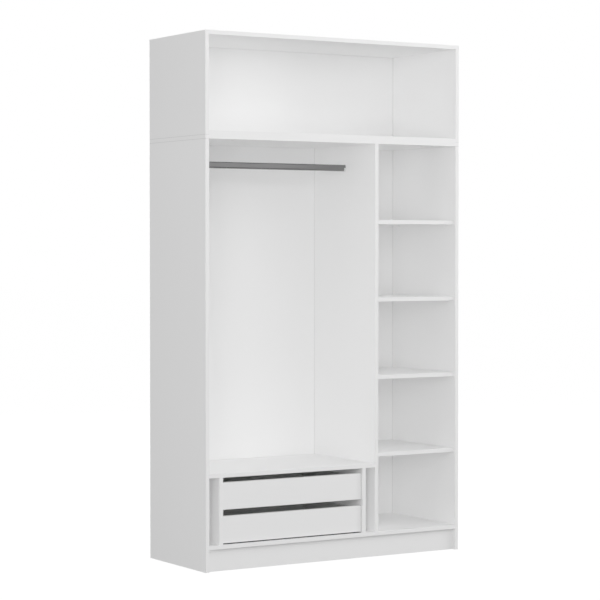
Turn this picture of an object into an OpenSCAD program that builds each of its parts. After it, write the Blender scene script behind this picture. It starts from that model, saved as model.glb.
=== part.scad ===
// Open wardrobe of melamine-faced board: a lower unit with a hanging bay, a bay of
// shelves and two drawers on telescopic runners, and a top box bolted on above it.
// Millimetres. The origin is at floor level, in the middle of the width and the depth.
// +X is to the right of a person facing the open front, the front faces -Y, +Z is up.

/* [Overall size] */
// Width across the two outer sides
width = 1350; // [1250:10:1500]
// Depth from the front edges to the rear of the back sheets
depth = 520; // [510:5:620]
// Height of the lower unit, from the floor
lower_height = 1900; // [1850:10:2000]
// Height of the top box
upper_height = 450; // [350:10:600]

/* [Boards] */
// Thickness of every carcass board
board = 18; // [18:1:19]
// Thickness of the back sheets and drawer bottoms
sheet = 3; // [3:0.5:4]
// Thickness of the drawer boxes' sides and backs
drawer_board = 16; // [15:1:16]

/* [Layout] */
// Clear width of the bay of shelves
shelf_bay = 432; // [380:1:480]
// Height of the first shelf's underside
first_shelf = 457; // [430:1:470]
// Distance from one shelf to the next
shelf_pitch = 354; // [320:1:354]
// How far the shelves' front edges stand back
shelf_setback = 15; // [5:1:40]
// Height of the plinth under the bottom board
plinth = 98; // [80:1:98]
// How far the front plinth stands back
plinth_setback = 20; // [5:1:60]

/* [Hanging rail] */
// Height of the middle of the hanging rail
rail_height = 1780; // [1700:5:1800]
// Height of the oval tube
rail_tall = 30; // [30:1:32]
// Thickness of the oval tube, front to back
rail_thick = 15; // [15:1:16]
// Wall of the oval tube
rail_wall = 1; // [0.8:0.1:1.5]

/* [Drawers] */
// Clear height of the drawer bay
drawer_bay = 294; // [294:2:320]
// Open gap on each side of the drawer bay
side_gap = 50; // [40:1:70]
// Height of each drawer front
front_height = 118; // [118:1:121]
// Distance from one drawer front to the next
front_pitch = 147; // [147:1:160]
// Gap under the lower drawer front
front_foot_gap = 5.5; // [3:0.5:6]
// Gap at each end of a drawer front
front_end_gap = 1.5; // [1.5:0.5:4]
// How far the drawer fronts stand back from the front edges
front_setback = 10; // [2:1:20]
// Height of the drawer boxes' sides
box_height = 95; // [90:1:100]
// Length of the drawer boxes and their runners
runner_length = 450; // [400:50:450]

/* [Hidden] */
SHELVES = [1, 2, 3, 4];
DRAWERS = ["lower", "upper"];
HANDS = ["left", "right"];
$fn = 48;

WHITE = "whitesmoke";
SHADED_WHITE = "gainsboro";
BOX_GREY = "gray";
RAIL_GREY = "dimgray";
STEEL = "silver";
ZINC = "darkgray";
BEECH = "burlywood";

// Planes of the carcass
front_y = -depth / 2;
rear_y = depth / 2;
board_rear_y = rear_y - sheet;
outer_x = width / 2;
inner_x = outer_x - board;
partition_right_x = inner_x - shelf_bay;
partition_left_x = partition_right_x - board;
floor_z = plinth + board;
lower_top_z = lower_height - board;
bay_top_z = floor_z + drawer_bay;
total_height = lower_height + upper_height;
upper_floor_z = lower_height + board;
upper_top_z = total_height - board;
bay_left_x = -inner_x + side_gap + board;
bay_right_x = partition_left_x - side_gap - board;

// Rows of fasteners, front to back
row_inset = 60;
dowel_step = 32;
rows = [front_y + row_inset, board_rear_y - row_inset];
dowel_rows = [rows[0] + dowel_step, rows[1] - dowel_step];

// Eccentric cam fasteners
cam_d = 15;
cam_deep = 12.5;
cam_reach = 34;
bolt_bore_d = 8;
bolt_shank_d = 7;
bolt_neck_d = 4;
bolt_head = 3;
thread_d = 5;
thread_long = 11;
plinth_cam_z = plinth / 2;

// Dowels, confirmat screws, unit connectors, wood screws and nails
dowel_d = 8;
dowel_long = 30;
dowel_in_face = 12;
confirmat_long = 50;
confirmat_head_d = 10;
confirmat_shank_d = 7;
confirmat_core_d = 5;
connector_d = 8;
connector_head_d = 13;
connector_head = 1.5;
screw_d = 3.5;
screw_long = 14;
screw_head_d = 6.5;
screw_head = 0.9;
nail_d = 1.6;
nail_head_d = 4.5;
nail_head = 0.6;
nail_long = 20;
nail_step = 150;
drive_d = 4;
drive_deep = 2;

// Back sheets
back_margin = 4;
sheet_gap = 2;
nail_inset = board / 2;

// Shelves and their pins
shelf_play = 0.5;
pin_d = 5;
pin_in = 8;
pin_out = 9;
pin_collar_d = 8;
pin_collar = 1.5;

// Hanging rail and its sockets
rail_y = -10;
socket_plate = 2;
socket_wall = 2;
socket_deep = 8;
socket_play = 0.1;
socket_screw_rise = 8;

// Drawer boxes and runners
runner_thick = 12.7;
runner_tall = 45;
runner_metal = 1.2;
runner_inset = 2;
middle_tall = 36;
middle_from = 2.6;
middle_to = 11;
outer_to = 10;
inner_tall = 26;
inner_from = 5;
runner_screw_rows = [90, 390];
box_foot = 12;
groove_rise = 10;
groove_deep = 6;
drawer_cam_rises = [30, 62];
back_cam_rise = 55;
box_x = [bay_left_x + runner_thick, bay_right_x - runner_thick];
box_front_y = front_y + front_setback + board;
box_rear_y = box_front_y + runner_length;

// A box between two corners
module block(low, high) {
    translate(low) cube(high - low);
}

// A hole or shaft of diameter d and length l from a point, along +X, -X, +Y, -Y, +Z or -Z
module along(axis, d, l) {
    turn = axis[2] == 1 ? [0, 0, 0]
        : axis[2] == -1 ? [180, 0, 0]
        : [0, 90, atan2(axis[1], axis[0])];
    rotate(turn) cylinder(d = d, h = l);
}

// ---- Eccentric cam fastener ----
// Each joint is [point on the end of the held board, at its mid-thickness; direction of
// the bolt out of that board; direction in which the cam's pocket opens; depth of the
// bolt's axis under the pocket's mouth].

function joint_point(j) = j[0];
function joint_out(j) = j[1];
function joint_face(j) = j[2];
function joint_under(j) = j[3];
function cam_centre(j) = joint_point(j) - cam_reach * joint_out(j);

module cam_mouth(j) {
    translate(cam_centre(j) + joint_under(j) * joint_face(j)) children();
}

module cam_holes(joints) {
    for (j = joints) {
        cam_mouth(j) along(-joint_face(j), cam_d, cam_deep);
        translate(joint_point(j)) along(-joint_out(j), bolt_bore_d, cam_reach);
    }
}

module thread_holes(joints) {
    for (j = joints)
        translate(joint_point(j)) along(joint_out(j), thread_d, thread_long);
}

module cam_lock(j) {
    difference() {
        cam_mouth(j) along(-joint_face(j), cam_d, cam_deep);
        translate(cam_centre(j) - bolt_head * joint_out(j))
            along(joint_out(j), bolt_bore_d, cam_d);
        cam_mouth(j) along(-joint_face(j), drive_d, drive_deep);
    }
}

module cam_bolt(j) {
    translate(cam_centre(j) - bolt_head / 2 * joint_out(j)) {
        along(joint_out(j), bolt_shank_d, bolt_head);
        along(joint_out(j), bolt_neck_d, cam_d);
    }
    translate(cam_centre(j) + cam_d / 2 * joint_out(j))
        along(joint_out(j), bolt_shank_d, cam_reach - cam_d / 2);
    translate(joint_point(j) - joint_out(j))
        along(joint_out(j), thread_d, thread_long + 1);
}

// A cam joint at each fastener row, for a board whose end lies at x and mid-height at z
function cam_row(x, z, out, face, ys = rows) =
    [for (y = ys) [[x, y, z], [out, 0, 0], [0, 0, face], board / 2]];

bottom_joints = concat(
    cam_row(-inner_x, plinth + board / 2, -1, -1),
    cam_row(inner_x, plinth + board / 2, 1, -1)
);
upper_bottom_joints = concat(
    cam_row(-inner_x, lower_height + board / 2, -1, -1),
    cam_row(inner_x, lower_height + board / 2, 1, -1)
);
upper_top_joints = concat(
    cam_row(-inner_x, upper_top_z + board / 2, -1, 1),
    cam_row(inner_x, upper_top_z + board / 2, 1, 1)
);
bay_top_left_joints = cam_row(-inner_x, bay_top_z + board / 2, -1, -1);
bay_top_right_joints = cam_row(partition_left_x, bay_top_z + board / 2, 1, -1);

front_plinth_y = [front_y + plinth_setback, front_y + plinth_setback + board];
rear_plinth_y = [board_rear_y - board, board_rear_y];

function plinth_joints(y, face) = [
    for (s = [-1, 1]) [[s * inner_x, y, plinth_cam_z], [s, 0, 0], [0, face, 0], board / 2]
];
front_plinth_joints = plinth_joints(front_plinth_y[0] + board / 2, 1);
rear_plinth_joints = plinth_joints(rear_plinth_y[0] + board / 2, -1);

carcass_joints = concat(
    bottom_joints, upper_bottom_joints, upper_top_joints,
    bay_top_left_joints, bay_top_right_joints,
    front_plinth_joints, rear_plinth_joints
);

// ---- Dowels ----
// Each dowel is [point on the face of the board it enters least; direction into the other]

function dowel_row(point_x, z, into) = [for (y = dowel_rows) [[point_x, y, z], into]];

bottom_dowels = concat(
    dowel_row(-inner_x, plinth + board / 2, [1, 0, 0]),
    dowel_row(inner_x, plinth + board / 2, [-1, 0, 0])
);
upper_bottom_dowels = concat(
    dowel_row(-inner_x, lower_height + board / 2, [1, 0, 0]),
    dowel_row(inner_x, lower_height + board / 2, [-1, 0, 0])
);
upper_top_dowels = concat(
    dowel_row(-inner_x, upper_top_z + board / 2, [1, 0, 0]),
    dowel_row(inner_x, upper_top_z + board / 2, [-1, 0, 0])
);
bay_top_left_dowels = dowel_row(-inner_x, bay_top_z + board / 2, [1, 0, 0]);
bay_top_right_dowels = dowel_row(partition_left_x, bay_top_z + board / 2, [-1, 0, 0]);
left_spacer_dowels = dowel_row(bay_left_x - board / 2, bay_top_z, [0, 0, -1]);
right_spacer_dowels = dowel_row(bay_right_x + board / 2, bay_top_z, [0, 0, -1]);
carcass_dowels = concat(
    bottom_dowels, upper_bottom_dowels, upper_top_dowels,
    bay_top_left_dowels, bay_top_right_dowels, left_spacer_dowels, right_spacer_dowels
);

module dowel_shapes(dowels) {
    for (d = dowels)
        translate(d[0] - dowel_in_face * d[1]) along(d[1], dowel_d, dowel_long);
}

// ---- Confirmat screws ----
// Each is [point on the outer face of the first board; direction into it]

function confirmats(x, z, into) = [for (y = rows) [[x, y, z], into]];

top_confirmats = concat(
    confirmats(-outer_x + board / 2, lower_height, [0, 0, -1]),
    confirmats(partition_left_x + board / 2, lower_height, [0, 0, -1]),
    confirmats(outer_x - board / 2, lower_height, [0, 0, -1])
);
bottom_confirmats = concat(
    confirmats(bay_left_x - board / 2, plinth, [0, 0, 1]),
    confirmats(bay_right_x + board / 2, plinth, [0, 0, 1]),
    confirmats(partition_left_x + board / 2, plinth, [0, 0, 1])
);

module confirmat_shapes(screws) {
    cone = (confirmat_head_d - confirmat_shank_d) / 2;
    for (s = screws)
        translate(s[0]) rotate(s[1][2] == 1 ? [0, 0, 0] : [180, 0, 0])
            rotate_extrude() polygon([
                [0, 0],
                [confirmat_head_d / 2, 0],
                [confirmat_shank_d / 2, cone],
                [confirmat_shank_d / 2, board],
                [confirmat_core_d / 2, board],
                [confirmat_core_d / 2, confirmat_long],
                [0, confirmat_long]
            ]);
}

// ---- Wood screws, with a flat head that stands on the piece they hold ----
// Each is [point on the face under the head; direction into the wood]

module screw_holes(screws) {
    for (s = screws) translate(s[0]) along(s[1], screw_d, screw_long);
}

module screw_shapes(screws) {
    for (s = screws) {
        translate(s[0]) along(s[1], screw_d, screw_long);
        difference() {
            translate(s[0]) along(-s[1], screw_head_d, screw_head);
            translate(s[0] - screw_head * s[1]) along(s[1], screw_d / 2, screw_head / 2);
        }
    }
}

socket_face_x = [-inner_x + socket_plate, partition_left_x - socket_plate];
socket_screws = [
    for (i = [0, 1], rise = [-socket_screw_rise, socket_screw_rise])
        [[socket_face_x[i], rail_y, rail_height + rise], [i == 0 ? -1 : 1, 0, 0]]
];

function runner_z(d) = floor_z + front_foot_gap + box_foot + box_height / 2
    + (d == "upper" ? front_pitch : 0);

runner_web_x = [bay_left_x + runner_metal, bay_right_x - runner_metal];
function outer_screws(d) = [
    for (i = [0, 1], along_y = runner_screw_rows)
        [[runner_web_x[i], box_front_y + along_y, runner_z(d)], [i == 0 ? -1 : 1, 0, 0]]
];
function inner_screws(d) = [
    for (i = [0, 1], along_y = runner_screw_rows)
        [
            [box_x[i] + (i == 0 ? -runner_metal : runner_metal), box_front_y + along_y, runner_z(d)],
            [i == 0 ? 1 : -1, 0, 0]
        ]
];
carcass_screws = concat(socket_screws, [for (d = DRAWERS) each outer_screws(d)]);

// ---- Unit connectors and back nails ----

connector_x = [-outer_x * 3 / 4, outer_x * 3 / 4];

module at_connectors() {
    for (x = connector_x, y = rows) translate([x, y, lower_top_z]) children();
}

// Evenly spaced places from a to b, about nail_step apart
function spread(a, b) =
    let (n = ceil((b - a) / nail_step)) [for (i = [0:n]) a + (b - a) * i / n];

function nail_frame(x0, x1, z0, z1) = concat(
    [for (x = [x0, x1], z = spread(z0, z1)) [x, z]],
    [for (x = spread(x0, x1), z = [z0, z1]) if (x > x0 + nail_d && x < x1 - nail_d) [x, z]]
);

sheet_split_x = partition_left_x + board / 2;
sheet_x = outer_x - back_margin;
nail_x = outer_x - nail_inset;
lower_sheet_z = [plinth - back_margin, lower_height - back_margin / 2];
upper_sheet_z = [lower_height + back_margin / 2, total_height - back_margin];
lower_nail_z = [plinth + nail_inset, lower_top_z + nail_inset];
upper_nail_z = [lower_height + nail_inset, upper_top_z + nail_inset];
left_back_nails = nail_frame(-nail_x, sheet_split_x - board / 4, lower_nail_z[0], lower_nail_z[1]);
right_back_nails = nail_frame(sheet_split_x + board / 4, nail_x, lower_nail_z[0], lower_nail_z[1]);
upper_back_nails = nail_frame(-nail_x, nail_x, upper_nail_z[0], upper_nail_z[1]);

module nail_shapes(places) {
    for (p = places) translate([p[0], rear_y, p[1]]) {
        along([0, -1, 0], nail_head_d, nail_head);
        along([0, -1, 0], nail_d, nail_long);
    }
}

// ---- Carcass boards ----

module upright(x, z0, z1) {
    block([x, front_y, z0], [x + board, board_rear_y, z1]);
}

module level(x0, x1, z) {
    block([x0, front_y, z], [x1, board_rear_y, z + board]);
}

module lower_side(left) {
    color(WHITE) difference() {
        upright(left ? -outer_x : inner_x, 0, lower_top_z);
        thread_holes(left
            ? concat(bottom_joints, bay_top_left_joints, front_plinth_joints, rear_plinth_joints)
            : concat(bottom_joints, front_plinth_joints, rear_plinth_joints));
        dowel_shapes(left ? concat(bottom_dowels, bay_top_left_dowels) : bottom_dowels);
        confirmat_shapes(top_confirmats);
        if (left) screw_holes(socket_screws);
        if (!left) pin_shapes();
    }
}

module lower_left_side() {
    lower_side(true);
}

module lower_right_side() {
    lower_side(false);
}

module partition() {
    color(WHITE) difference() {
        upright(partition_left_x, floor_z, lower_top_z);
        thread_holes(bay_top_right_joints);
        dowel_shapes(bay_top_right_dowels);
        confirmat_shapes(concat(top_confirmats, bottom_confirmats));
        screw_holes(socket_screws);
        pin_shapes();
    }
}

module bottom_board() {
    color(WHITE) difference() {
        level(-inner_x, inner_x, plinth);
        cam_holes(bottom_joints);
        dowel_shapes(bottom_dowels);
        confirmat_shapes(bottom_confirmats);
    }
}

module lower_top_board() {
    color(WHITE) difference() {
        level(-outer_x, outer_x, lower_top_z);
        confirmat_shapes(top_confirmats);
        at_connectors() cylinder(d = connector_d, h = board);
    }
}

module plinth_board(y, joints) {
    color(WHITE) difference() {
        block([-inner_x, y[0], 0], [inner_x, y[1], plinth]);
        cam_holes(joints);
    }
}

module front_plinth() {
    plinth_board(front_plinth_y, front_plinth_joints);
}

module rear_plinth() {
    plinth_board(rear_plinth_y, rear_plinth_joints);
}

module back_sheet(x, z, nails) {
    color(SHADED_WHITE) difference() {
        block([x[0], board_rear_y, z[0]], [x[1], rear_y, z[1]]);
        nail_shapes(nails);
    }
}

module lower_left_back() {
    back_sheet([-sheet_x, sheet_split_x - sheet_gap / 2], lower_sheet_z, left_back_nails);
}

module lower_right_back() {
    back_sheet([sheet_split_x + sheet_gap / 2, sheet_x], lower_sheet_z, right_back_nails);
}

module upper_side(x) {
    color(WHITE) difference() {
        upright(x, lower_height, total_height);
        thread_holes(concat(upper_bottom_joints, upper_top_joints));
        dowel_shapes(concat(upper_bottom_dowels, upper_top_dowels));
    }
}

module upper_left_side() {
    upper_side(-outer_x);
}

module upper_right_side() {
    upper_side(inner_x);
}

module upper_bottom_board() {
    color(WHITE) difference() {
        level(-inner_x, inner_x, lower_height);
        cam_holes(upper_bottom_joints);
        dowel_shapes(upper_bottom_dowels);
        at_connectors() translate([0, 0, board]) cylinder(d = connector_d, h = board);
    }
}

module upper_top_board() {
    color(WHITE) difference() {
        level(-inner_x, inner_x, upper_top_z);
        cam_holes(upper_top_joints);
        dowel_shapes(upper_top_dowels);
    }
}

module upper_back() {
    back_sheet([-sheet_x, sheet_x], upper_sheet_z, upper_back_nails);
}

// ---- Shelves ----

function shelf_z(i) = first_shelf + (i - 1) * shelf_pitch;

module shelf(i) {
    color(WHITE) block(
        [partition_right_x + shelf_play, front_y + shelf_setback, shelf_z(i)],
        [inner_x - shelf_play, board_rear_y - shelf_play, shelf_z(i) + board]
    );
}

// A pin that stands out of one wall of the shelf bay, with a collar against the wall
module pin_shape(x, y, i, out) {
    z = shelf_z(i) - pin_d / 2;
    translate([x - pin_in * out, y, z]) along([out, 0, 0], pin_d, pin_in + pin_out);
}

module pin_shapes() {
    for (i = SHELVES, y = rows) {
        pin_shape(partition_right_x, y, i, 1);
        pin_shape(inner_x, y, i, -1);
    }
}

module shelf_pins() {
    color(SHADED_WHITE) {
        pin_shapes();
        for (i = SHELVES, y = rows, s = [-1, 1])
            pin_collar(s == 1 ? partition_right_x : inner_x, y, i, s);
    }
}

// The collar's upper part is cut away where the shelf lies on the pin
module pin_collar(x, y, i, out) {
    z = shelf_z(i);
    intersection() {
        translate([x, y, z - pin_d / 2]) along([out, 0, 0], pin_collar_d, pin_collar);
        translate([x - pin_collar_d, y - pin_collar_d, z - 2 * pin_collar_d])
            cube(2 * pin_collar_d);
    }
}

// ---- Drawer bay ----

module drawer_bay_top() {
    color(WHITE) difference() {
        level(-inner_x, partition_left_x, bay_top_z);
        cam_holes(concat(bay_top_left_joints, bay_top_right_joints));
        dowel_shapes(concat(bay_top_left_dowels, bay_top_right_dowels));
        dowel_shapes(concat(left_spacer_dowels, right_spacer_dowels));
    }
}

module spacer(x, dowels) {
    color(WHITE) difference() {
        upright(x, floor_z, bay_top_z);
        dowel_shapes(dowels);
        confirmat_shapes(bottom_confirmats);
        screw_holes(concat(outer_screws("lower"), outer_screws("upper")));
    }
}

module left_spacer() {
    spacer(bay_left_x - board, left_spacer_dowels);
}

module right_spacer() {
    spacer(bay_right_x, right_spacer_dowels);
}

// ---- Hanging rail ----

// An upright oval, with d for its thickness
module oval(tall, thick) {
    square([tall - thick, thick], center = true);
    for (s = [-1, 1]) translate([s * (tall - thick) / 2, 0]) circle(d = thick);
}

// Extrudes an outline of [height, depth] along +X from x
module rail_extrude(x, long) {
    translate([x, rail_y, rail_height]) rotate([0, 90, 0]) linear_extrude(long) children();
}

module hanging_rail() {
    color(RAIL_GREY) rail_extrude(socket_face_x[0], socket_face_x[1] - socket_face_x[0])
        difference() {
            oval(rail_tall, rail_thick);
            oval(rail_tall - 2 * rail_wall, rail_thick - 2 * rail_wall);
        }
}

// A plate against the wall, and a cup that is open at the top and holds the rail's lower half
module rail_socket(wall_x, cup_x) {
    grow = 2 * (socket_wall + socket_play);
    color(WHITE) {
        difference() {
            rail_extrude(wall_x, socket_plate) oval(rail_tall + grow, rail_thick + grow);
            screw_holes(socket_screws);
        }
        rail_extrude(cup_x, socket_deep) difference() {
            oval(rail_tall + grow, rail_thick + grow);
            oval(rail_tall + 2 * socket_play, rail_thick + 2 * socket_play);
            translate([-rail_tall, 0]) square(2 * rail_tall, center = true);
        }
    }
}

module left_rail_socket() {
    rail_socket(-inner_x, socket_face_x[0]);
}

module right_rail_socket() {
    rail_socket(socket_face_x[1], socket_face_x[1] - socket_deep);
}

// ---- Carcass fasteners ----

module cam_locks() {
    color(ZINC) for (j = carcass_joints) cam_lock(j);
}

module cam_bolts() {
    color(STEEL) for (j = carcass_joints) cam_bolt(j);
}

module dowels() {
    color(BEECH) dowel_shapes(carcass_dowels);
}

module confirmat_screws() {
    color(STEEL) difference() {
        confirmat_shapes(concat(top_confirmats, bottom_confirmats));
        for (s = concat(top_confirmats, bottom_confirmats))
            translate(s[0]) along(s[1], drive_d, drive_deep);
    }
}

module unit_connectors() {
    color(STEEL) at_connectors() {
        cylinder(d = connector_d, h = 2 * board);
        translate([0, 0, -connector_head]) cylinder(d = connector_head_d, h = connector_head);
        translate([0, 0, 2 * board]) difference() {
            cylinder(d = connector_head_d, h = connector_head);
            translate([0, 0, connector_head / 2]) cylinder(d = drive_d, h = connector_head);
        }
    }
}

module panel_screws() {
    color(STEEL) screw_shapes(carcass_screws);
}

module back_nails() {
    color(STEEL) nail_shapes(concat(left_back_nails, right_back_nails, upper_back_nails));
}

// ---- Drawers ----

function front_z(d) = floor_z + front_foot_gap + (d == "upper" ? front_pitch : 0);
function box_z(d) = front_z(d) + box_foot;
side_in_x = [box_x[0] + drawer_board, box_x[1] - drawer_board];

function front_joints(d) = [
    for (i = [0, 1], rise = drawer_cam_rises)
        [
            [(box_x[i] + side_in_x[i]) / 2, box_front_y, box_z(d) + rise],
            [0, -1, 0],
            [i == 0 ? 1 : -1, 0, 0],
            drawer_board / 2
        ]
];
function back_joints(d) = [
    for (i = [0, 1])
        [
            [side_in_x[i], box_rear_y - drawer_board / 2, box_z(d) + back_cam_rise],
            [i == 0 ? -1 : 1, 0, 0],
            [0, 1, 0],
            drawer_board / 2
        ]
];

module drawer_front(d) {
    color(WHITE) difference() {
        block(
            [bay_left_x + front_end_gap, front_y + front_setback, front_z(d)],
            [bay_right_x - front_end_gap, box_front_y, front_z(d) + front_height]
        );
        thread_holes(front_joints(d));
        bottom_shape(d);
    }
}

module drawer_side(d, i) {
    color(BOX_GREY) difference() {
        block(
            [min(box_x[i], side_in_x[i]), box_front_y, box_z(d)],
            [max(box_x[i], side_in_x[i]), box_rear_y, box_z(d) + box_height]
        );
        cam_holes(front_joints(d));
        thread_holes(back_joints(d));
        screw_holes(inner_screws(d));
        bottom_shape(d);
    }
}

module drawer_back(d) {
    color(BOX_GREY) difference() {
        block(
            [side_in_x[0], box_rear_y - drawer_board, box_z(d) + groove_rise + sheet],
            [side_in_x[1], box_rear_y, box_z(d) + box_height]
        );
        cam_holes(back_joints(d));
    }
}

// The bottom slides in grooves in the sides and the front, and passes under the back
module bottom_shape(d) {
    block(
        [side_in_x[0] - groove_deep, box_front_y - groove_deep, box_z(d) + groove_rise],
        [side_in_x[1] + groove_deep, box_rear_y, box_z(d) + groove_rise + sheet]
    );
}

module drawer_bottom(d) {
    color(BOX_GREY) bottom_shape(d);
}

module drawer_cam_locks(d) {
    color(ZINC) for (j = concat(front_joints(d), back_joints(d))) cam_lock(j);
}

module drawer_cam_bolts(d) {
    color(STEEL) for (j = concat(front_joints(d), back_joints(d))) cam_bolt(j);
}

module drawer_screws(d) {
    color(STEEL) screw_shapes(inner_screws(d));
}

// ---- Telescopic runners ----

// A channel between two distances from the spacer, with its web at the side given
module channel(d, i, from, to, tall, web_at_spacer) {
    web = web_at_spacer ? from : to - runner_metal;
    translate([i == 0 ? bay_left_x : bay_right_x, box_front_y + runner_inset, runner_z(d)])
        mirror([i, 0, 0]) {
            block([web, 0, -tall / 2], [web + runner_metal, runner_length - runner_inset, tall / 2]);
            for (s = [-1, 1]) {
                z = s * (tall - runner_metal) / 2;
                block(
                    [from, 0, z - runner_metal / 2],
                    [to, runner_length - runner_inset, z + runner_metal / 2]
                );
            }
        }
}

module runner_outer(d, i) {
    color(STEEL) difference() {
        channel(d, i, 0, outer_to, runner_tall, true);
        screw_holes(outer_screws(d));
    }
}

module runner_middle(d, i) {
    color(STEEL) channel(d, i, middle_from, middle_to, middle_tall, true);
}

module runner_inner(d, i) {
    color(STEEL) difference() {
        channel(d, i, inner_from, runner_thick, inner_tall, false);
        screw_holes(inner_screws(d));
    }
}

lower_left_side();
lower_right_side();
partition();
bottom_board();
lower_top_board();
front_plinth();
rear_plinth();
lower_left_back();
lower_right_back();
upper_left_side();
upper_right_side();
upper_bottom_board();
upper_top_board();
upper_back();
shelf(1);  // shelf_1
shelf(2);  // shelf_2
shelf(3);  // shelf_3
shelf(4);  // shelf_4
shelf_pins();
drawer_bay_top();
left_spacer();
right_spacer();
hanging_rail();
left_rail_socket();
right_rail_socket();
cam_locks();
cam_bolts();
dowels();
confirmat_screws();
unit_connectors();
panel_screws();
back_nails();
drawer_front("lower");  // lower_drawer_front
drawer_side("lower", 0);  // lower_drawer_left_side
drawer_side("lower", 1);  // lower_drawer_right_side
drawer_back("lower");  // lower_drawer_back
drawer_bottom("lower");  // lower_drawer_bottom
drawer_cam_locks("lower");  // lower_drawer_cam_locks
drawer_cam_bolts("lower");  // lower_drawer_cam_bolts
drawer_screws("lower");  // lower_drawer_screws
runner_outer("lower", 0);  // lower_left_runner_outer
runner_middle("lower", 0);  // lower_left_runner_middle
runner_inner("lower", 0);  // lower_left_runner_inner
runner_outer("lower", 1);  // lower_right_runner_outer
runner_middle("lower", 1);  // lower_right_runner_middle
runner_inner("lower", 1);  // lower_right_runner_inner
drawer_front("upper");  // upper_drawer_front
drawer_side("upper", 0);  // upper_drawer_left_side
drawer_side("upper", 1);  // upper_drawer_right_side
drawer_back("upper");  // upper_drawer_back
drawer_bottom("upper");  // upper_drawer_bottom
drawer_cam_locks("upper");  // upper_drawer_cam_locks
drawer_cam_bolts("upper");  // upper_drawer_cam_bolts
drawer_screws("upper");  // upper_drawer_screws
runner_outer("upper", 0);  // upper_left_runner_outer
runner_middle("upper", 0);  // upper_left_runner_middle
runner_inner("upper", 0);  // upper_left_runner_inner
runner_outer("upper", 1);  // upper_right_runner_outer
runner_middle("upper", 1);  // upper_right_runner_middle
runner_inner("upper", 1);  // upper_right_runner_inner
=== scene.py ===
"""The looks of an open white wardrobe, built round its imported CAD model.

Metres, in the CAD frame: the origin is at floor level in the middle of the wardrobe,
+X to the right of a person facing the open front, the front faces -Y, +Z is up.
"""
import math

import bmesh
import bpy
from mathutils import Matrix, Vector


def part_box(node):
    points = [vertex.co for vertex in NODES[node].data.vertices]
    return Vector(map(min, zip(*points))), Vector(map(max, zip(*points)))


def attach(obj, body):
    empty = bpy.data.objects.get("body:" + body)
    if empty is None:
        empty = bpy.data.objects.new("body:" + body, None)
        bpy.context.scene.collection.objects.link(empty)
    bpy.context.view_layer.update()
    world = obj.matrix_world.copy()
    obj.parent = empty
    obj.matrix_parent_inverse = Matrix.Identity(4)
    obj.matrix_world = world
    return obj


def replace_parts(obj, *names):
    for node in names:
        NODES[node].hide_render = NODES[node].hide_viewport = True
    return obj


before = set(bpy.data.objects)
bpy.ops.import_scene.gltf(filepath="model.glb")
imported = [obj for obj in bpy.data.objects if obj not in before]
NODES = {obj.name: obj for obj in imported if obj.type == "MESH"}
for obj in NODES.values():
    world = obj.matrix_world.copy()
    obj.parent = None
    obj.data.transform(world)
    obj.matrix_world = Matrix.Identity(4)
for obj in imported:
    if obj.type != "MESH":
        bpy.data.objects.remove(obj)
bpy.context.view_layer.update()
MM = 0.001

DRAWERS = ("lower", "upper")
HANDS = ("left", "right")

# Planes of the carcass, from the frame
FRONT_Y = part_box("lower_left_side")[0].y
BOARD_REAR_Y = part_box("lower_left_side")[1].y

# ---- Light values ------------------------------------------------------------------

FLOOR_RADIUS = 60.0
FLOOR_STEPS = 96
# The floor's own light, which makes it as white as the backdrop
FLOOR_GLOW = 0.99
# What the camera sees of the world
BACKDROP = 1.0
# The world's strength straight down, level and straight up, as it lights the object
WORLD_DOWN = 0.09
WORLD_LEVEL = 0.244
WORLD_UP = 0.077
DISPLAY_GAMMA = 1.5
# White boards pass light on many times, deep in the bays
WHITE_BOUNCES = 12

# name: place, target, side of the square, power
LIGHTS = {
    "fill": ((-4.5, -7.2, 1.8), (0.0, 0.0, 1.2), 4.0, 231.0),
    "high": ((0.0, -4.0, 6.0), (0.0, 0.0, 1.0), 4.0, 56.0),
    "key": ((3.0, -6.0, 4.0), (0.0, 0.0, 1.2), 4.0, 77.0),
    "left": ((-7.0, -1.0, 2.0), (0.0, 0.0, 1.2), 4.0, 106.0),
    "right": ((6.5, -3.5, 2.5), (0.0, 0.0, 1.2), 4.0, 197.0),
    "rear": ((1.5, 7.0, 3.5), (0.0, 0.0, 1.2), 4.0, 256.0),
}

# ---- Node trees -------------------------------------------------------------------


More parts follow.
